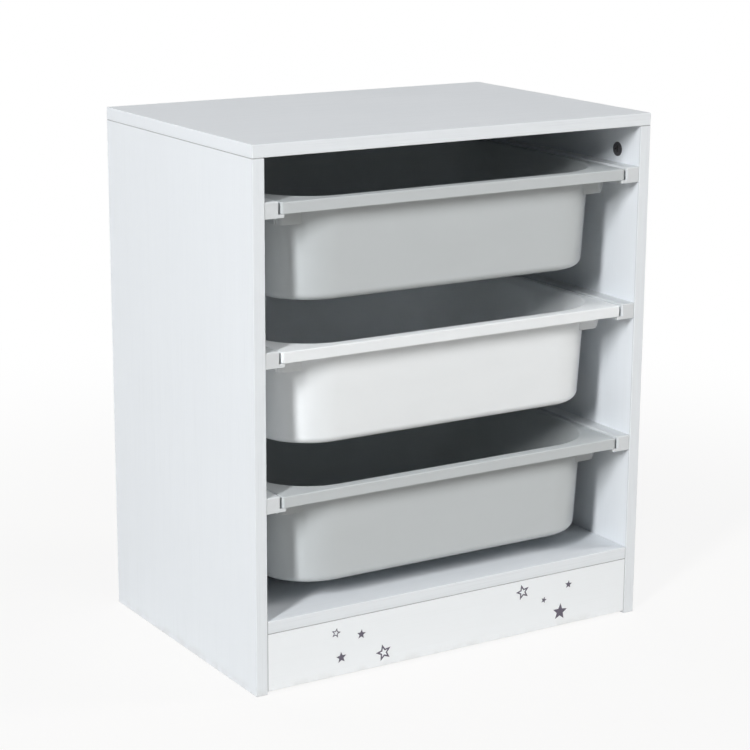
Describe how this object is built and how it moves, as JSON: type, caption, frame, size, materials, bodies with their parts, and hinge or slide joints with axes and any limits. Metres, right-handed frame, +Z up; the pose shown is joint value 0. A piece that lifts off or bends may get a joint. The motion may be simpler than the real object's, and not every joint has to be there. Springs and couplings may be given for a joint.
{
  "type": "children's storage unit with sliding bins",
  "caption": "Low white cabinet with a plinth and shallow plastic bins that slide out on moulded runners, for keeping toys.",
  "frame": {"origin": "on the floor under the middle of the cabinet", "axes": "+X to the right seen from the front, +Y to the back, +Z up; the bins slide out towards -Y"},
  "size_m": [0.46, 0.31, 0.536],
  "materials": {
    "white_melamine": "white melamine on chipboard, faint grain",
    "white_plinth_front": "smooth white melamine on chipboard",
    "white_back_board": "white-faced hardboard",
    "grey_plastic": "moulded light grey polypropylene",
    "white_plastic": "moulded white polypropylene",
    "runner_plastic": "moulded white plastic",
    "cam_die_cast": "dark die casting",
    "zinc_steel": "zinc plated steel",
    "beech": "raw beech"
  },
  "bodies": {
    "cabinet": {"top_panel": "white_melamine", "left_side_panel": "white_melamine", "right_side_panel": "white_melamine", "bottom_shelf": "white_melamine", "plinth_panel": "white_plinth_front", "back_panel": "white_back_board", "runner_left_bottom": "runner_plastic", "runner_right_bottom": "runner_plastic", "runner_left_middle": "runner_plastic", "runner_right_middle": "runner_plastic", "runner_left_top": "runner_plastic", "runner_right_top": "runner_plastic", "runner_screws": "zinc_steel", "cam_locks": "cam_die_cast", "cam_bolts": "zinc_steel", "dowels": "beech", "back_nails": "zinc_steel"},
    "bin_bottom": {"bin_bottom": "grey_plastic"},
    "bin_middle": {"bin_middle": "white_plastic"},
    "bin_top": {"bin_top": "grey_plastic"}
  },
  "joints": [
    {"name": "slide_bin_bottom", "type": "slide", "parent": "cabinet", "child": "bin_bottom", "axis": [0, -1, 0], "range_m": [0, 0.305]},
    {"name": "slide_bin_middle", "type": "slide", "parent": "cabinet", "child": "bin_middle", "axis": [0, -1, 0], "range_m": [0, 0.305]},
    {"name": "slide_bin_top", "type": "slide", "parent": "cabinet", "child": "bin_top", "axis": [0, -1, 0], "range_m": [0, 0.305]}
  ]
}
